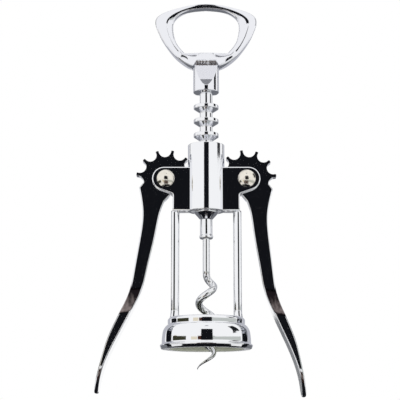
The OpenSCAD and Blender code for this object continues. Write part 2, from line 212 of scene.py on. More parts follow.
# Its section, from the mouth's inner edge out, up the wall, over the roof and down to the liner's
# place: each corner's radius, its height and the size of its rounding.
bell_profile = eased([
    (LINER_R, 0, 0.15), (RIM_R - 0.7, 0, 0.5), (RIM_R, RIM_H, 0.45), (WALL_R + 0.08, 2.5, 0.5),
    (WALL_R, 5.0, 1.2), (WALL_R - 0.45, 8.2, 1.2), (WALL_R - 1.7, 10.2, 0.9), (BEAD_R, BEAD_LOW, 0.25),
    (BEAD_R, BEAD_TOP, 0.4), (BEAD_R - 0.9, BELL_H, 0.6), (CORK_R, BELL_H, 0.4),
    (CORK_R, ROOF_Z, 0.15), (LINER_R, ROOF_Z, 0.15)], steps=10)

# The legs' section, which the lugs carry on, and how a lug spreads on its way down to the roof.
LEG_OUT = 15.7
LEG_T = 3.7
LEG_D = 6.2
LEG_WIDE = 2.4
LEG_ROUND = 1.9
LUG_H = 3
LUG_SINK = 1.6
LUG_PROUD = 1.004
LUG_WIDER = 0.2
LUG_DEEPER = 0.16
LUG_SHIFT = 0.35


def leg_outline():
    """A leg's section about its middle, x outwards: its front and rear are each two quarters of
    ellipses, a wide one on the inner side and a tighter one on the outer."""
    w, d = LEG_T / 2, LEG_D / 2
    tight = LEG_T - LEG_WIDE
    t = np.linspace(0, math.pi / 2, 12)
    inner = np.stack([LEG_WIDE * (1 - np.cos(t)) - w, LEG_ROUND * (1 - np.sin(t)) - d], -1)
    outer = np.stack([w - tight * (1 - np.sin(t)), tight * (1 - np.cos(t)) - d], -1)[1:]
    front = np.concatenate([inner, outer])
    return np.concatenate([front, front[::-1] * [1, -1]])


def lug(side):
    """A lug under one leg: the leg's section at each height, which grows wider and deeper and
    shifts outwards as the square of the way down. It stands a hair outside the leg, which reaches
    down into it, and sinks into the roof."""
    down = np.linspace(0, 1, 20)[:, None]
    outline = leg_outline() * LUG_PROUD
    x = LEG_OUT - LEG_T / 2 + outline[:, 0] * (1 + LUG_WIDER * down ** 2) + LUG_SHIFT * down ** 2
    y = outline[:, 1] * (1 + LUG_DEEPER * down ** 2)
    z = np.broadcast_to(BELL_H + LUG_H - (LUG_H + LUG_SINK) * down, x.shape)
    return skin(np.stack([side * x, side * y, z], -1))


piece("bell_casting", [skin(revolved(bell_profile), True), lug(1), lug(-1)],
      "frame", "bell", cast_chrome)


# ---------------------------------------------------------------- liner
# The liner is a moulded olive-grey plastic cup pressed into the bell. Its shelf stops the bottle's
# lip, and from below it shows as a matt crescent behind the worm.

SEAT_R = 15.2
SHELF_Z = 9.3
SIDE_FIT = 0.05
END_FIT = 0.02
liner_profile = eased([
    (SEAT_R + 0.6, END_FIT, 0.1), (LINER_R - 0.2, END_FIT, 0.1), (LINER_R - SIDE_FIT, 0.5, 0.1),
    (LINER_R - SIDE_FIT, ROOF_Z - END_FIT, 0.1), (CORK_R + SIDE_FIT, ROOF_Z - END_FIT, 0.1),
    (CORK_R + SIDE_FIT, SHELF_Z, 0.3), (SEAT_R, SHELF_Z, 0.5), (SEAT_R, 0.7, 0.2)])

# Plastic from a spark-eroded mould mirrors nothing: it is an even, faintly mottled olive grey. Its
# texture is finer in fact, and is drawn SPARK_W wide to show at all.
MOTTLE_W = 4
SPARK_W = 0.18
SPARK_H = 0.02
moulded, tree = blank("Moulded plastic, matt olive grey")
place = add(tree, "ShaderNodeTexCoord").outputs["Object"]
mottle = add(tree, "ShaderNodeTexNoise", {"Vector": place, "Scale": 1 / (MOTTLE_W * MM), "Detail": 4.0})
sparks = add(tree, "ShaderNodeTexNoise", {"Vector": place, "Scale": 1 / (SPARK_W * MM), "Detail": 2.0})
shade = add(tree, "ShaderNodeMix", {"Factor": mottle.outputs["Fac"], "A": linear("#9A9E8E"),
                                    "B": linear("#B4B7A8")}, data_type="RGBA")
texture = add(tree, "ShaderNodeBump", {"Height": sparks.outputs["Fac"], "Strength": 0.6,
                                       "Distance": SPARK_H * MM})
plastic = add(tree, "ShaderNodeBsdfPrincipled",
              {"Base Color": shade.outputs["Result"], "Roughness": 0.6, "IOR": 1.49,
               "Normal": texture.outputs["Normal"]})
add(tree, "ShaderNodeOutputMaterial", {"Surface": plastic.outputs["BSDF"]})
piece("liner_cup", [skin(revolved(liner_profile), True)], "frame", "bell_liner", moulded)


# ---------------------------------------------------------------- frame
# The frame is one polished and chromed casting: a bored barrel that guides the spindle, two plates
# with round ears that hold the rivets, blocks between the plates, and two legs down to the bell.

# Heights, distances from the middle and radii of the head, and how its shapes run into each other.
PLATE_Z = 61.4
BARREL_TOP = 92
PIVOT_X = 18.2
PIVOT_Z = 76
EAR_R = 5.3
EAR_OUT = 0.8
EAR_DROP = 7
CORNER_EASE = 0.8
PLATE_IN = 2.25
PLATE_OUT = 3.85
PLATE_SIDE = 15
PLATE_FILLET = 0.5
SLOT_R = 13.8
BORE_R = 5.78
BARREL_R = 8.28
LEG_FOOT = BELL_H + 1
LEG_WAIST = 0.012
BLOCK_SINK = 0.3
OVERLAP = 0.02


def slab(outline, low, high, fillet, caps=None, steps=6, guard=0.02, sharpest=0.7):
    """A flat casting seen from the front: its outline, as (x, z) counter-clockwise, between the
    depths low and high, with its edges rounded by quarter circles. Over one, the outline moves in
    along its normals by fillet (1 - sin a) while the depth moves by fillet (1 - cos a), and a
    guard ring follows on either side of it. At a corner the normal is stretched by one over the
    cosine of half the turn, which counts as sharpest at least."""
    ahead = np.roll(outline, -1, 0) - outline
    back = outline - np.roll(outline, 1, 0)
    ahead /= np.linalg.norm(ahead, axis=1, keepdims=True)
    back /= np.linalg.norm(back, axis=1, keepdims=True)
    along = ahead + back
    along /= np.linalg.norm(along, axis=1, keepdims=True)
    stretch = 1 / np.maximum((along * ahead).sum(1, keepdims=True), sharpest)
    inward = np.stack([-along[:, 1], along[:, 0]], -1) * stretch
    a = np.linspace(0, math.pi / 2, steps)[:, None]
    fillet = fillet + 0 * outline[:, 0]
    inset = np.concatenate([[fillet + guard], fillet * (1 - np.sin(a)), [0 * fillet]])
    depth = np.concatenate([[0 * fillet], fillet * (1 - np.cos(a)), [fillet + guard]])
    flat = outline + inward * np.concatenate([inset, inset[::-1]])[..., None]
    y = np.concatenate([low + depth, high - depth[::-1]])
    return skin(np.stack([flat[..., 0], y, flat[..., 1]], -1), False, caps)


def arc(centre, radius, start, end, steps):
    """Points on an arc, with angles in degrees from +X towards +Z."""
    a = np.radians(np.linspace(start, end, steps))
    return np.stack([centre[0] + radius * np.cos(a), centre[1] + radius * np.sin(a)], -1)


def plate_outline():
    """One head plate from the front: a straight foot, the sides up to the ears' lower corners, each
    rounded by a parabola, a straight line that touches each ear's round, and a straight top."""
    centre = np.array([PIVOT_X + EAR_OUT, PIVOT_Z])
    corner = np.array([PLATE_SIDE, PIVOT_Z - EAR_DROP])
    away = corner - centre
    touch = math.degrees(math.atan2(away[1], away[0]) + math.acos(EAR_R / math.hypot(*away)))
    ear = arc(centre, EAR_R, touch, 90, 26)
    t = np.linspace(0, 1, 5)[:, None]
    a = corner - [0, CORNER_EASE]
    b = corner + CORNER_EASE * (ear[0] - corner) / np.linalg.norm(ear[0] - corner)
    bend = (1 - t) ** 2 * a + 2 * t * (1 - t) * corner + t ** 2 * b
    side = np.array([PLATE_SIDE, PLATE_Z]) * (1 - t[:-1]) + a * t[:-1]
    right = np.concatenate([side, bend, ear])
    return np.concatenate([right, right[::-1] * [-1, 1]])


def leg(side):
    """One leg: a bar with well rounded edges, from the bell's lug up into the plates. It is a hair
    slimmer at half its height, by the square of a sine."""
    up = np.linspace(0, 1, 60)[:, None]
    outline = leg_outline()
    x = LEG_OUT - LEG_T / 2 + outline[:, 0] * (1 - LEG_WAIST * np.sin(math.pi * up) ** 2)
    y = outline[:, 1] + 0 * up
    z = LEG_FOOT + (PLATE_Z - LEG_FOOT + OVERLAP) * up + 0 * outline[:, 0]
    return skin(np.stack([side * x, side * y, z], -1))


def block(side):
    """The solid block between the plates beside the barrel: a straight foot and sides, cut away by
    an arc about the pivot, round the gear's slot."""
    reach = math.degrees(math.acos((PIVOT_X - PLATE_SIDE) / SLOT_R))
    wall = arc((PIVOT_X, PIVOT_Z), SLOT_R, -180 + reach, -180, 16)
    foot = PLATE_Z + OVERLAP
    outline = np.concatenate([wall[::-1], [[PIVOT_X - SLOT_R, foot], [PLATE_SIDE - OVERLAP, foot]]])
    depth = PLATE_IN + BLOCK_SINK
    rings = np.stack([np.insert(outline * [side, 1], 1, y, axis=1) for y in (-depth, depth)])
    return skin(rings)


barrel_profile = eased([
    (BORE_R + 0.9, PLATE_Z - 0.01, 0.12), (BARREL_R, PLATE_Z - 0.01, 0.35), (BARREL_R, BARREL_TOP, 0.35),
    (BORE_R + 0.75, BARREL_TOP, 0.12), (BORE_R, BARREL_TOP - 0.8, 0.1), (BORE_R, PLATE_Z + 1, 0.1)])
parts = [skin(revolved(barrel_profile), True),
         slab(plate_outline(), -PLATE_OUT, -PLATE_IN, PLATE_FILLET),
         slab(plate_outline(), PLATE_IN, PLATE_OUT, PLATE_FILLET)]
for side in (1, -1):
    parts += [leg(side), block(side)]
piece("frame_casting", parts, "frame", "frame", cast_chrome)


# ---------------------------------------------------------------- rivets
# Two turned and nickel-plated steel rivets carry the levers. The front has a low dome with a small
# drill mark in its middle, and the rear end is closed over smaller and flatter.

SHANK_R = 1.98
SHANK_CORE = 0.4
HEAD_R = 3.95
HEAD_H = 1.7
REAR_LESS_R = 0.7
REAR_LESS_H = 0.5
MARK_H = 0.05
MARK_R = 0.45


def dome(radius, height, face, way, mark, steps=28, turns=72):
    """A low dome: rings of growing radius whose height falls as a circle's does, less a mark at
    the middle that fades as exp(-(r / MARK_R)^2), closed by a short wall into the plate."""
    ball = (radius ** 2 + height ** 2) / (2 * height)
    r = np.linspace(0.02, 1, steps) * radius
    h = np.sqrt(ball ** 2 - r ** 2) - (ball - height) - mark * np.exp(-(r / MARK_R) ** 2)
    r = np.append(r, [radius, radius - 0.4])
    h = np.append(h, [-0.1, -0.3])
    a = np.arange(turns) * 2 * math.pi / turns
    y = face + way * h[:, None] + 0 * a
    return skin(np.stack([np.outer(r, np.cos(a)), y, np.outer(r, np.sin(a))], -1))


# Satin nickel is warmer than chrome, and fine turning marks smear what it mirrors into soft blots.
# The marks are drawn TURNING_W wide, a few times wider than the real ones, so that they show.
STAIN_W = 1.2
TURNING_W = 0.12
TURNING_H = 0.004
nickel, tree = blank("Nickel plate, satin, on turned steel")
place = add(tree, "ShaderNodeTexCoord").outputs["Object"]
stain = add(tree, "ShaderNodeTexNoise", {"Vector": place, "Scale": 1 / (STAIN_W * MM), "Detail": 4.0})
shade = add(tree, "ShaderNodeMix", {"Factor": stain.outputs["Fac"], "A": linear("#F2EEE6"),
                                    "B": linear("#DED8CC")}, data_type="RGBA")
satin = add(tree, "ShaderNodeMapRange", {"Value": stain.outputs["Fac"], "To Min": 0.1, "To Max": 0.2})
turning = add(tree, "ShaderNodeTexNoise", {"Vector": place, "Scale": 1 / (TURNING_W * MM), "Detail": 2.0})
rub = add(tree, "ShaderNodeBump", {"Height": turning.outputs["Fac"], "Strength": 0.5,
                                   "Distance": TURNING_H * MM})
metal = add(tree, "ShaderNodeBsdfPrincipled",
            {"Base Color": shade.outputs["Result"], "Metallic": 1.0,
             "Roughness": satin.outputs["Result"], "Normal": rub.outputs["Normal"]})
add(tree, "ShaderNodeOutputMaterial", {"Surface": metal.outputs["BSDF"]})

for side, name in ((-1, "left"), (1, "right")):
    shank = revolved(eased([(SHANK_CORE, -PLATE_OUT, 0.05), (SHANK_R, -PLATE_OUT, 0.05),
                            (SHANK_R, PLATE_OUT, 0.05), (SHANK_CORE, PLATE_OUT, 0.05)], 2), 48)
    parts = [skin(shank[..., [0, 2, 1]], True), dome(HEAD_R, HEAD_H, -PLATE_OUT, -1, MARK_H),
             dome(HEAD_R - REAR_LESS_R, HEAD_H - REAR_LESS_H, PLATE_OUT, 1, 0)]
    parts = [(v + [side * PIVOT_X, 0, PIVOT_Z], f) for v, f in parts]
    piece(f"rivet_{name}_plated", parts, "frame", f"rivet_{name}", nickel)


# ---------------------------------------------------------------- levers
# Each lever is one zinc casting: a hub with gear teeth that mesh with the spindle's rings, a flat
# arm, and a paddle that stands edge-on to the front. The faces are tumbled, plated and nearly flat.

# The gear is the rings' own rack, wound up: its teeth have the rings' pitch along PITCH_R. A ring
# stands RING_UP over the pivot at rest, and the first tooth is the one in the gap over it.
RING_PITCH = 6.6
RING_UP = 0.8
GAP_UP = 2.4
TOOTH_SAG = 0.1
PITCH_R = 12.2
TOOTH_STEP = math.degrees(RING_PITCH / PITCH_R)
FIRST_TOOTH = math.degrees((RING_UP + GAP_UP - TOOTH_SAG) / PITCH_R)
FIRST_VALLEY = -2
LAST_VALLEY = 5
LAST_SWEEP = 16.3
TIP_R = 13.4
TIP_PROUD = 0.1
TOOTH_HALF = 0.68
VALLEY_AT = 12.95
VALLEY_R = VALLEY_AT * math.sin(math.radians(TOOTH_STEP / 2)) - TOOTH_HALF

# The arm and the paddle. The hollow flare runs from FLARE_TOP down to FLARE_LOW, and over the last
# END_UP the paddle's half depth falls in by END_IN. The hub's points stand under its teeth. Each
# station is a share of the length below the pivot, the distance out from it and the width there.
LEVER_L = 95.2
LEVER_HALF = 2.1
PADDLE_HALF = 7.0
END_IN = 5
END_UP = 13.5
RIGHT_PLAY = 3.3
FLARE_TOP = 0.495 * LEVER_L
FLARE_LOW = 0.63 * LEVER_L
FLARE_POWER = 0.8
FLARE_EDGE = 0.04
TIP_ROUND = 0.8
TIP_X = 29.68
ARM_FILLET = 0.5
TOOTH_FILLET = 0.12
FILLET_RUN = 12
HUB_OUTSIDE = [[11.3, -7.5], [12, -3.8]]
HUB_INSIDE = [[-5.6, -5.9], [-2.3, -7]]
STATIONS = np.array([(0.105, 5.7, 10.4), (0.158, 6.4, 8), (0.221, 7.2, 7), (0.305, 8.6, 6.6),
                     (0.42, 10.8, 5.9), (0.525, 13, 5.4), (0.62, 16.8, 4.8), (0.704, 20.8, 4.4),
                     (0.777, 24, 3.5), (0.861, 26.9, 2.1), (0.935, 28.8, 1.8), (1, 29.7, 1.7)])


def through(points, count):
    """A smooth curve through the points: each coordinate is a natural cubic spline of the number
    of the point, whose second derivatives solve one tridiagonal system."""
    n = len(points)
    system = np.eye(n) + 3 * np.eye(n) * (np.arange(n) % (n - 1) > 0)
    inside = np.arange(1, n - 1)
    system[inside, inside - 1] = system[inside, inside + 1] = 1
    right = np.zeros((n, points.shape[1]))
    right[1:-1] = 6 * (points[2:] - 2 * points[1:-1] + points[:-2])
    bend = np.linalg.solve(system, right)
    u = np.linspace(0, n - 1, count)
    i = np.minimum(u.astype(int), n - 2)
    f = (u - i)[:, None]
    g = 1 - f
    return points[i] * g + points[i + 1] * f + ((g ** 3 - g) * bend[i] + (f ** 3 - f) * bend[i + 1]) / 6


def gear_edge():
    """The hub's toothed edge, from its lower end inside, over the top, to its end outside. Valleys
    are arcs about points of one circle, and the teeth's tips are short arcs of the tip circle. They
    meet at the angles that the law of cosines gives, and each corner is softened by averaging it
    with its neighbours twice."""
    half_tip = math.degrees(math.acos((TIP_R ** 2 + VALLEY_AT ** 2 - VALLEY_R ** 2)
                                      / (2 * TIP_R * VALLEY_AT)))
    half_valley = math.degrees(math.acos((VALLEY_AT ** 2 + VALLEY_R ** 2 - TIP_R ** 2)
                                         / (2 * VALLEY_AT * VALLEY_R)))
    runs = []
    for k in range(FIRST_VALLEY, LAST_VALLEY + 1):
        at = FIRST_TOOTH + (k + 0.5) * TOOTH_STEP
        centre = VALLEY_AT * np.array([-math.cos(math.radians(at)), math.sin(math.radians(at))])
        start = -at - (half_valley if k > FIRST_VALLEY else 0)
        end = -at + (half_valley if k < LAST_VALLEY else LAST_SWEEP)
        runs.append(arc(centre, VALLEY_R, start, end, 26))
        if k < LAST_VALLEY:
            tip = arc((0, 0), TIP_R + TIP_PROUD, 180 - at - half_tip, 180 - at - TOOTH_STEP + half_tip, 7)
            runs.append(tip[1:-1])
    edge = np.concatenate(runs)
    for _ in range(2):
        edge[1:-1] = (edge[:-2] + 2 * edge[1:-1] + edge[2:]) / 4
    return edge


def half_depth(z):
    """A lever's half depth at a height: the arm's, then a hollow flare, whose slope grows as the
    power FLARE_POWER of the way down and stops at the edge where the paddle starts, then a quarter
    of an ellipse in to the tip."""
    t = np.linspace(0, 1 + FLARE_EDGE, 200)
    slope = np.clip(t, 0, 1) ** FLARE_POWER * np.clip((1 + FLARE_EDGE - t) / FLARE_EDGE, 0, 1)
    rise = np.cumsum(slope)
    wide = LEVER_HALF + (PADDLE_HALF - LEVER_HALF) * np.interp(
        (-z - FLARE_TOP) / (FLARE_LOW - FLARE_TOP), t, rise / rise[-1])
    end = np.clip((-z - LEVER_L + END_UP) / END_UP, 0, 0.9999)
    return wide - END_IN * (1 - np.sqrt(1 - end ** 2))


def lever(side, turned):
    """One lever around its pivot. Its front and rear are one flat face at the hub, a ladder of
    quads between the arm's two edges, and one face at the tip. It is turned about the pivot in
    degrees and, for side -1, mirrored."""
    mid = through(STATIONS * [-LEVER_L, 1, 1], 110)
    mid = mid[mid[:, 0] > TIP_ROUND - LEVER_L]
    outer = np.stack([mid[:, 1] + mid[:, 2] / 2, mid[:, 0]], -1)[::-1]
    inner = np.stack([mid[:, 1] - mid[:, 2] / 2, mid[:, 0]], -1)
    tip = arc((TIP_X, TIP_ROUND - LEVER_L), TIP_ROUND, 180, 360, 9)[1:-1]
    hub = np.concatenate([HUB_OUTSIDE, gear_edge()[::-1], HUB_INSIDE])
    outline = np.concatenate([outer, hub, inner, tip])
    m, h = len(mid), len(hub)
    rungs = [[i, i + 1, 2 * m + h - 2 - i, 2 * m + h - 1 - i] for i in range(m - 1)]
    caps = [list(range(m - 1, m + h + 1)), [0, *range(2 * m + h - 1, len(outline))], *rungs]
    depth = half_depth(outline[:, 1])
    fillet = np.interp(np.arange(len(outline)), [m, m + FILLET_RUN, m + h - FILLET_RUN, m + h],
                       [ARM_FILLET, TOOTH_FILLET, TOOTH_FILLET, ARM_FILLET])
    verts, faces = slab(outline, -depth, depth, fillet, caps)
    a = math.radians(turned)
    x = verts[:, 0] * math.cos(a) + verts[:, 2] * math.sin(a)
    z = verts[:, 2] * math.cos(a) - verts[:, 0] * math.sin(a)
    placed = np.stack([side * (x + PIVOT_X), verts[:, 1], z + PIVOT_Z], -1)
    return placed, faces if side > 0 else [f[::-1] for f in faces]


# Tumbled chrome is as bright as polished chrome, with finer waves and a few more pits. In the
# hollow flares over the paddles a brown painted reflection is mixed into the plate's colour. It
# goes from FLARE_REFLECTION_DARK to FLARE_REFLECTION_PALE as the surface tilts up, moved by fine
# upright streaks, and it is painted paler on the left lever's outer side. On the front and the
# rear only the flares face upwards, so the object's own normal says where the painted reflection
# is. STREAKS counts the streaks in a metre along each axis.
# The dark and pale colours of the painted brown reflection in the flares.
FLARE_REFLECTION_DARK = "#1D181B"
FLARE_REFLECTION_PALE = "#9A8E8C"
STREAKS = (800, 800, 70)
STREAK_SHIFT = 0.16
PALER_SIDE_X = (-38, -31)
PALER_SIDE_SHIFT = (0.1, -0.03)
PALE_TILT = (0.28, 0.6)
PALE_POWER = 1.2
FLARE_STARTS = (0.12, 0.18)
FACE_STARTS = (0.55, 0.75)
tumbled_chrome = chrome("Chrome plate on tumbled zinc", "#EDEEF1", 0.2, 6, 0.012, 0.06, 0.03)
tree = tumbled_chrome.node_tree
own = add(tree, "ShaderNodeTexCoord")
facing = add(tree, "ShaderNodeSeparateXYZ", {"Vector": own.outputs["Normal"]})
where = add(tree, "ShaderNodeSeparateXYZ", {"Vector": own.outputs["Object"]})
along = add(tree, "ShaderNodeMapping", {"Vector": own.outputs["Object"], "Scale": STREAKS})
streak = add(tree, "ShaderNodeTexNoise", {"Vector": along.outputs["Vector"], "Scale": 1.0, "Detail": 2.0})
wander = add(tree, "ShaderNodeMapRange", {"Value": streak.outputs["Fac"], "To Min": -STREAK_SHIFT,
                                          "To Max": STREAK_SHIFT})
# The painted reflection is made paler on the left lever's outer side, by its X.
paler_side = add(tree, "ShaderNodeMapRange",
           {"Value": where.outputs["X"], "From Min": PALER_SIDE_X[0] * MM, "From Max": PALER_SIDE_X[1] * MM,
            "To Min": PALER_SIDE_SHIFT[0], "To Max": PALER_SIDE_SHIFT[1]})
drift = add(tree, "ShaderNodeMath", {0: wander.outputs["Result"], 1: paler_side.outputs["Result"]})
tilt = add(tree, "ShaderNodeMath", {0: facing.outputs["Z"], 1: drift.outputs[0]})
pale = add(tree, "ShaderNodeMapRange", {"Value": tilt.outputs[0], "From Min": PALE_TILT[0],
                                        "From Max": PALE_TILT[1]})
late = add(tree, "ShaderNodeMath", {0: pale.outputs["Result"], 1: PALE_POWER}, operation="POWER")
# The painted reflection's brown, from dark to pale as the surface tilts up.
brown = add(tree, "ShaderNodeMix", {"Factor": late.outputs[0], "A": linear(FLARE_REFLECTION_DARK),
                                    "B": linear(FLARE_REFLECTION_PALE)}, data_type="RGBA")
flare = add(tree, "ShaderNodeMapRange", {"Value": facing.outputs["Z"], "From Min": FLARE_STARTS[0],
                                         "From Max": FLARE_STARTS[1]})
across = add(tree, "ShaderNodeMath", {0: facing.outputs["Y"]}, operation="ABSOLUTE")
face = add(tree, "ShaderNodeMapRange", {"Value": across.outputs[0], "From Min": FACE_STARTS[0],
                                        "From Max": FACE_STARTS[1]})
share = add(tree, "ShaderNodeMath", {0: flare.outputs["Result"], 1: face.outputs["Result"]},
            operation="MULTIPLY")
plate = next(n for n in tree.nodes if n.type == "BSDF_PRINCIPLED")
bright = plate.inputs["Base Color"].links[0].from_socket
# Where the flares face up, the painted brown reflection is mixed into the plate's colour.
plate_and_painted_reflection = add(tree, "ShaderNodeMix", {"Factor": share.outputs[0], "A": bright,
                                     "B": brown.outputs["Result"]}, data_type="RGBA")
tree.links.new(plate_and_painted_reflection.outputs["Result"], plate.inputs["Base Color"])
piece("lever_left_casting", [lever(-1, 0)], "lever_left", "lever_left", tumbled_chrome)
piece("lever_right_casting", [lever(1, RIGHT_PLAY)], "lever_right", "lever_right",
      tumbled_chrome)


# ---------------------------------------------------------------- spindle
# The spindle is turned from the bar and chromed: a core with rings that the levers' teeth push,
# each with a cone under its rim, and a longer cone at its lower end.

RING_R = 5.7
RING_RIM = 1.65
RING_CONE = 1.8
RING_LEVEL = PIVOT_Z + RING_UP
CORE_R = 2.9
CORE_BORE_R = 1.76
RACK_BOTTOM = 60.9
RACK_CONE = 3.0
NECK_Z = 116.6
END_GAP = 0.1
LOWEST_RING = -2
TOP_RING = 5
lowest_top = RING_LEVEL + LOWEST_RING * RING_PITCH + RING_RIM / 2
profile = [(CORE_BORE_R, RACK_BOTTOM - RACK_CONE, 0.05), (CORE_R, RACK_BOTTOM - RACK_CONE, 0.1),
           (RING_R, RACK_BOTTOM + 0.05, 0.25), (RING_R, lowest_top, 0.3), (CORE_R, lowest_top, 0.3)]
for k in range(LOWEST_RING + 1, TOP_RING + 1):
    low = RING_LEVEL + k * RING_PITCH - RING_RIM / 2
    profile += [(CORE_R, low - RING_CONE, 0.4), (RING_R, low, 0.3), (RING_R, low + RING_RIM, 0.35),
                (CORE_R, low + RING_RIM, 0.3)]
profile += [(CORE_R, NECK_Z - END_GAP, 0.05), (CORE_BORE_R, NECK_Z - END_GAP, 0.05)]

# Turned and plated steel is mirror bright and has no pits, so each ring shows crisp bands.
turned_chrome = chrome("Chrome plate on turned steel", "#EFF0F3", 0.3, 8, 0.01, 0.05, 0.0)
piece("spindle_turned", [skin(revolved(eased(profile, 6), 128), True)], "spindle", "spindle_rack",
      turned_chrome)


# ---------------------------------------------------------------- worm and collar
# The worm is plated spring wire, straight above and coiled right-handed below, ground to a point.
# A turned collar with a small lip holds it under the spindle.

WIRE_R = 1.6
WIRE_IN_NECK = 8
COIL_R = 3.3
COIL_PITCH = 14.5
COIL_ZERO = -1.5
COIL_START = COIL_ZERO + 2 * COIL_PITCH
WIRE_LEAD = 7
STRAIGHT_Z = COIL_START + WIRE_LEAD
TIP_DROP = 8.6
TIP_OUT = 0.6
TIP_OUT_H = 0.6 * COIL_PITCH
GRIND_H = 1.1 * COIL_PITCH
GRIND_POWER = 0.6
POINT = 0.1


def smooth(t):
    """A smooth step from 0 to 1: 3 t^2 - 2 t^3."""
    t = np.clip(t, 0, 1)
    return t * t * (3 - 2 * t)


def swept(path, radius, sides=28):
    """A round tube along a path: at each point a circle square to the path, in a frame that leans
    on the +Y direction."""
    way = np.gradient(path, axis=0)
    way /= np.linalg.norm(way, axis=1, keepdims=True)
    side = np.cross(way, [0, 1, 0])
    side /= np.linalg.norm(side, axis=1, keepdims=True)
    up = np.cross(side, way)
    a = np.arange(sides) * 2 * math.pi / sides
    ring = side[:, None] * np.cos(a)[:, None] + up[:, None] * np.sin(a)[:, None]
    return path[:, None] + radius[:, None, None] * ring


def worm_path():
    """The wire's middle line and its radius, from its end in the neck down to its point. The coil
    turns once in COIL_PITCH. Over the lead the turning slows evenly to a stop, so the turn grows
    as s - s^2 / 2, while the distance from the axis falls as a smooth step. At the lower end the
    coil widens by TIP_OUT, and the wire is ground down to the share POINT of its radius."""
    z = np.concatenate([np.linspace(NECK_Z + WIRE_IN_NECK, STRAIGHT_Z + 0.2, 40),
                        np.linspace(STRAIGHT_Z, -TIP_DROP, 420)])
    s = np.maximum(z - COIL_START, 0) / WIRE_LEAD
    rise = np.minimum(z, COIL_START) - COIL_ZERO + WIRE_LEAD * (s - s * s / 2)
    turn = 2 * math.pi / COIL_PITCH * rise
    turn = np.where(z > STRAIGHT_Z, turn[np.argmin(np.abs(z - STRAIGHT_Z))], turn)
    up = z + TIP_DROP
    out = COIL_R * smooth((STRAIGHT_Z - z) / WIRE_LEAD) + TIP_OUT * smooth(1 - up / TIP_OUT_H)
    thick = WIRE_R * (POINT + (1 - POINT) * smooth(up / GRIND_H) ** GRIND_POWER)
    return np.stack([out * np.cos(turn), out * np.sin(turn), z], -1), thick


# Nickel plate on drawn spring wire is a little greyer and softer than chrome, and has more pits.
wire_nickel = chrome("Bright nickel plate on spring wire", "#E9EAEC", 0.15, 5, 0.02, 0.08, 0.05)
piece("worm_wire", [skin(swept(*worm_path()))], "screw", "worm", wire_nickel)

COLLAR_R = 2.8
COLLAR_L = 8.8
COLLAR_TOP = RACK_BOTTOM - RACK_CONE - END_GAP
COLLAR_LOW = COLLAR_TOP - COLLAR_L
COLLAR_BORE_R = WIRE_R + 0.08
LIP_R = COLLAR_R + 0.3
collar_profile = eased([
    (COLLAR_BORE_R, COLLAR_LOW, 0.05), (COLLAR_R - 0.1, COLLAR_LOW, 0.2), (LIP_R, COLLAR_LOW + 0.5, 0.25),
    (LIP_R, COLLAR_LOW + 1.3, 0.25), (COLLAR_R, COLLAR_LOW + 1.8, 0.3), (COLLAR_R, COLLAR_TOP, 0.2),
    (COLLAR_BORE_R, COLLAR_TOP, 0.05)])
piece("collar_turned", [skin(revolved(collar_profile, 96), True)], "screw", "worm_collar",
      turned_chrome)


# ---------------------------------------------------------------- handle
# The handle is one zinc casting: a round neck, a cap lifter with a lip over a sloping pocket, and a
# wide loop whose limbs have a soft ridge along their middle.

NECK_R = 5.9
LOOP_HALF_W = 23.4
LOOP_TOP = 42.5
OPENING_HALF_W = 15.2
LIFTER_UP = 18.6
CROWN_BAR = 2.2
LIP_UP = 13.2
FOOT_HALF_W = 4.9
FOOT_UP = LIP_UP + 0.6
OPENING_MIDDLE = 0.45

# Half of the loop's outline, from the top round to the neck, as shares of its half width and
# height, and half of the opening's in the same way.
LOOP_HALF = np.array([[0, 1], [0.25, 0.99], [0.5, 0.963], [0.78, 0.92], [0.965, 0.86], [1, 0.78],
                      [0.955, 0.7], [0.87, 0.598], [0.73, 0.482], [0.59, 0.392], [0.42, 0.32],
                      [0.26, 0.28]])
OPENING_HALF = np.array([[0, 1], [0.52, 0.95], [0.875, 0.81], [1, 0.61], [0.945, 0.32], [0.82, 0.14],
                         [0.655, 0]])

# The face's section, by the angle round the opening from the top, in radians. Over the crown it is
# nearly flat, and on the limbs it is steep, with a narrow ridge nearer the opening on the left. The
# ridge is rounder on the right, low down on both limbs and at the left shoulder, so the dark line
# that it mirrors is thicker there. Ridges and EDGE_MOST are shares of the loop's width. From
# DENSE_FROM down, where the limbs run into the neck, the sections stand closer together.
CROWN_TO = 0.1
CROWN_RUN = 1.0
LIMB_TO = 2.95
LIMB_RUN = 0.6
LOW_FROM = 1.7
LOW_RUN = 0.6
CROWN_SLOPE = 0.02
LIMB_SLOPE = 0.3
CROWN_RIDGE = 0.5
LIMB_SHARPER = 0.45
RIGHT_ROUNDER = 0.11
LOW_ROUNDER = 0.12
SHOULDER_ROUNDER = 0.15
SHOULDER_AT = 0.95
SHOULDER_RUN = 0.25
LEFT_SHIFT = 0.14
CROWN_EDGE = 0.35
LIMB_EDGE = 0.5
EDGE_MOST = 0.3
DENSE_FROM = 2.5
FACE_STEPS = 31


def depth_at(up):
    """The handle's half depth at a height above the neck's lower end: straight lines from the
    neck to the lip, the lifter, the limbs and the crown."""
    return np.interp(up, [0, LIP_UP, LIFTER_UP + 0.5, 33, LOOP_TOP], [NECK_R, 4.0, 2.95, 2.12, 2.1])


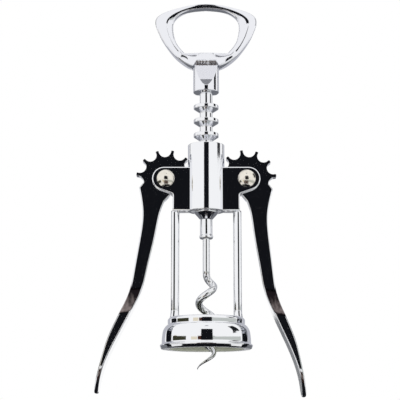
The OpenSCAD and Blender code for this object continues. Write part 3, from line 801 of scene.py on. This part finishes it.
def loop_rings():
    """The loop as sections that go once round the opening. Each runs from the inner outline to the
    outer one, both read at the same angle about the opening's middle. Its face falls away from
    the ridge as a hyperbola, slope (sqrt(d^2 + ridge^2) - ridge), with d the distance from the
    ridge's line, and its edges are quarter circles."""
    opening_h = LOOP_TOP - CROWN_BAR - LIFTER_UP
    out_half = through(LOOP_HALF * [LOOP_HALF_W, LOOP_TOP], 300)
    in_half = through(OPENING_HALF * [OPENING_HALF_W, opening_h], 120) + [0, LIFTER_UP]
    middle = np.array([0, LIFTER_UP + OPENING_MIDDLE * opening_h])
    t = np.linspace(0, 1, 60)[1:, None]
    foot = np.array([FOOT_HALF_W, FOOT_UP])
    out_half = np.concatenate([out_half, [foot], foot * (1 - t) + foot * [0, 1] * t])
    in_half = np.concatenate([in_half, in_half[-1] * (1 - t) + [0, LIFTER_UP] * t])
    angle = np.concatenate([np.linspace(0, DENSE_FROM, 150), np.linspace(DENSE_FROM, math.pi, 90)[1:]])
    ends = []
    for half in (in_half, out_half):
        away = half - middle
        a = np.arctan2(away[:, 0], away[:, 1])
        r = np.interp(angle, a, np.linalg.norm(away, axis=1))
        ends.append(middle + r[:, None] * np.stack([np.sin(angle), np.cos(angle)], -1))
    inner, outer = (np.concatenate([e, e[-2:0:-1] * [-1, 1]]) for e in ends)
    width = np.linalg.norm(outer - inner, axis=1)[:, None]
    right = np.arange(len(width))[:, None] < len(angle)
    round_it = np.concatenate([angle, angle[-2:0:-1]])[:, None]
    limb = smooth((round_it - CROWN_TO) / CROWN_RUN) * smooth((LIMB_TO - round_it) / LIMB_RUN)
    low = smooth((round_it - LOW_FROM) / LOW_RUN)
    shoulder = np.exp(-((round_it - SHOULDER_AT) / SHOULDER_RUN) ** 2) * ~right
    slope = CROWN_SLOPE + LIMB_SLOPE * limb
    ridge = (CROWN_RIDGE - LIMB_SHARPER * limb + (RIGHT_ROUNDER * right + LOW_ROUNDER * low) * limb
             + SHOULDER_ROUNDER * shoulder)
    crest = 0.5 - LEFT_SHIFT * limb * ~right
    edge = np.minimum(CROWN_EDGE + LIMB_EDGE * limb, EDGE_MOST * width)
    t = np.linspace(0, math.pi / 2, 6)
    share = np.concatenate([
        edge * (1 - np.cos(t)) / width,
        edge / width + (1 - 2 * edge / width) * np.linspace(0.01, 0.99, FACE_STEPS),
        1 - edge * (1 - np.sin(t)) / width], 1)
    drop = np.concatenate([edge * (1 - np.sin(t)), 0 * edge + np.zeros(FACE_STEPS),
                           edge * (1 - np.cos(t))], 1)
    at = inner[:, None] + (outer - inner)[:, None] * share[..., None]
    fall = slope * width * (np.sqrt((share - crest) ** 2 + ridge ** 2) - ridge)
    y = depth_at(at[..., 1]) - drop - fall
    front = np.stack([at[..., 0], -y, at[..., 1] + NECK_Z], -1)
    rear = np.stack([at[..., 0], y, at[..., 1] + NECK_Z], -1)[:, ::-1]
    return np.concatenate([front, rear], 1)


# The neck's rounded lower edge, as heights and radii, and the two planes that cut its front, as
# heights and distances out.
EDGE_UP = [0, 0, 0.06, 0.2, 0.35]
EDGE_R = [1.7, 5.4, 5.65, 5.82, 5.9]
CUT_UP = [2.2, 5.2, 12.8, 14.2]
CUT_OUT = [5.92, 5.12, 2.65, 2.2]


def neck_rings():
    """The neck as circles at each height. A plane that slopes in towards the lip, and a flatter one
    below it, cut its front: a point in front of them moves back to them."""
    up = np.concatenate([EDGE_UP, np.linspace(0.5, LIP_UP + 1, 120), [LIP_UP + 3]])[:, None]
    r = np.concatenate([EDGE_R, np.full(121, NECK_R)])[:, None]
    a = np.linspace(0, 2 * math.pi, 360, endpoint=False)
    x = r * np.sin(a)
    y = np.maximum(-r * np.cos(a), np.where(up < 0.5, -NECK_R, -np.interp(up, CUT_UP, CUT_OUT)))
    return np.stack([x, y, up + NECK_Z + 0 * x], -1)


# The lip's section, as (y, height over the neck's lower end), and how it is carried along X.
LIP_SECTION = np.array([[-3.98, 15.0], [-4.02, 14.1], [-2.7, 12.7], [-1.2, 12.7], [-1.2, 15.0]])
LIP_HALF_W = 4.7
LIP_STEPS = 48
LIP_ROUGH = 0.07


def lip_rings():
    """The lifter's lip: a sloping edge under the lifter's face as a section carried along X. Its
    second and third corners are moved by normal noise at each step, as they are left rough."""
    x = np.linspace(-LIP_HALF_W, LIP_HALF_W, LIP_STEPS)
    rough = np.zeros((5, LIP_STEPS, 2))
    rough[1:3] = np.random.default_rng(5).normal(0, LIP_ROUGH, (2, LIP_STEPS, 2))
    rings = LIP_SECTION + rough.transpose(1, 0, 2)
    return np.stack([x[:, None] + 0 * rings[..., 0], rings[..., 0], rings[..., 1] + NECK_Z], -1)


# The handle's plate is a little bluer, softer and more wavy than the frame's, so the long dark
# lines that it mirrors wander.
handle_chrome = chrome("Chrome plate on polished zinc, handle", "#ECEDF2", 0.25, 7, 0.03, 0.07, 0.03)
piece("handle_casting", [skin(loop_rings(), True), skin(neck_rings()), skin(lip_rings())],
      "screw", "handle", handle_chrome)


# ---------------------------------------------------------------- studio
# A plain pale floor and white surroundings, plain cards for the chrome to mirror, as in a
# photographer's tent, and a camera at the photograph's angle, which looks up from under the bell.

FAR = 1.5
CARD_MIDDLE = 0.07


def panel(name, colour, azimuth, elevation, distance=FAR, floor_z=None):
    """A curved card about the object, between two azimuths, 0 being the front, and two elevations,
    in degrees. With floor_z it lies flat at that height, and elevation holds its two distances
    instead. It shines evenly in its colour, so that a mirror shows it as it is."""
    a = np.radians(np.linspace(*azimuth, 25))
    e = np.radians(np.linspace(*elevation, 13))[:, None]
    reach, z = distance * np.cos(e), distance * np.sin(e) + CARD_MIDDLE
    if floor_z is not None:
        reach, z = np.linspace(*elevation, 13)[:, None], floor_z
    grid = np.stack([reach * np.sin(a), -reach * np.cos(a), z + 0 * e * a], -1)
    rows, columns = grid.shape[:2]
    i = (np.arange(rows - 1)[:, None] * columns + np.arange(columns - 1)).ravel()
    faces = np.stack([i, i + 1, i + columns + 1, i + columns], -1)
    mesh = bpy.data.meshes.new(name)
    mesh.from_pydata(grid.reshape(-1, 3).tolist(), [], faces.tolist())
    material, tree = blank(name)
    glow = add(tree, "ShaderNodeEmission", {"Color": linear(colour), "Strength": 1.0})
    add(tree, "ShaderNodeOutputMaterial", {"Surface": glow.outputs["Emission"]})
    mesh.materials.append(material)
    card = bpy.data.objects.new(name, mesh)
    bpy.context.scene.collection.objects.link(card)
    card.visible_camera = False
    card.visible_shadow = False
    card.visible_diffuse = False


# In front: the black card that the flat faces mirror, and the grey one beside it.
panel("card_front", "#141519", (-14, 16), (-9, 27))
panel("card_front_grey", "#C4C8C4", (16, 22), (-9, 9))
# Low and near, where only the bell's wall mirrors them: its brown, cream, olive and grey patches.
panel("card_bell_brown", "#4A2F26", (-19.9, -12.6), (-42, -27.5), 0.108)
panel("card_bell_cream", "#E8DFC9", (-38.1, -22.8), (-26, -8), 0.22)
panel("card_bell_olive", "#3A3A2C", (-92.8, -51.5), (-26, -7), 0.22)
panel("card_bell_grey", "#C4C8C4", (20, 95.6), (-26, -8), 0.22)
# At the sides and behind: the edges, the barrel's and the legs' dark lines, and their pale greys.
panel("card_left", "#B5A894", (-92, -84), (-30, 9))
panel("card_right", "#202124", (74, 98), (13.7, 45))
panel("card_strip_right", "#1B1C20", (122, 129), (-12, 60))
panel("card_strip_left", "#1B1C20", (-127, -120), (-12, 60))
panel("card_rear_left", "#BDBEC5", (190, 226), (-45, 60))
panel("card_rear_right", "#BDBEC5", (134, 170), (-45, 60))
panel("card_rear_low", "#7E8083", (183, 189), (-9, -1.5))
# Above: the grey of the handle's sloping pocket, and the pale light round it.
panel("card_above", "#85868A", (-4, 7), (50.7, 55.7), 0.3)
panel("card_above_pale", "#F0F0F2", (-8, 8), (48.5, 64))
# Lying below: what the undersides of the rings, the neck, the lip and the bell's rim mirror.
panel("card_under", "#141519", (0, 360), (0, 0.11), floor_z=-0.06)
panel("card_floor_front", "#33231F", (-24, 24), (0.14, 0.6), floor_z=-0.078)
panel("card_floor_lip", "#6B605C", (-24, 24), (0.2, 0.34), floor_z=-0.076)
panel("card_floor_rear", "#74767B", (112, 248), (0.12, 1.3), floor_z=-0.078)

FLOOR_Z = -0.08
FLOOR_HALF = 3
corners = [(-FLOOR_HALF, -FLOOR_HALF), (FLOOR_HALF, -FLOOR_HALF), (FLOOR_HALF, FLOOR_HALF),
           (-FLOOR_HALF, FLOOR_HALF)]
floor_mesh = bpy.data.meshes.new("floor")
floor_mesh.from_pydata([(x, y, FLOOR_Z) for x, y in corners], [], [(0, 1, 2, 3)])
floor = bpy.data.objects.new("floor", floor_mesh)
bpy.context.scene.collection.objects.link(floor)
# Matt white paper shows nothing but the object's soft shadow.
paper = bpy.data.materials.new("Matt white paper")
paper.use_nodes = True
sheet = paper.node_tree.nodes["Principled BSDF"]
sheet.inputs["Base Color"].default_value = linear("#F4F4F4")
sheet.inputs["Roughness"].default_value = 0.9
floor_mesh.materials.append(paper)

world = bpy.data.worlds.new("studio")
world.use_nodes = True
sky = world.node_tree.nodes["Background"]
sky.inputs["Color"].default_value = linear("#FFFFFF")
sky.inputs["Strength"].default_value = 1.0
scene = bpy.context.scene
scene.world = world
scene.view_settings.view_transform = "Standard"

# The photograph's frame is FRAME_W wide at the object, in metres, and the lens looks up at it.
ELEVATION = math.radians(-11)
DISTANCE = 0.516
TARGET = np.array([-0.0028, 0, 0.0668])
FRAME_W = 0.180
SENSOR_W = 36
lens = bpy.data.cameras.new("camera")
lens.sensor_width = SENSOR_W
lens.lens = SENSOR_W * DISTANCE / FRAME_W
lens.clip_start = 0.01
camera = bpy.data.objects.new("camera", lens)
camera.location = TARGET + DISTANCE * np.array([0, -math.cos(ELEVATION), math.sin(ELEVATION)])
camera.rotation_euler = (math.pi / 2 - ELEVATION, 0, 0)
scene.collection.objects.link(camera)
scene.camera = camera
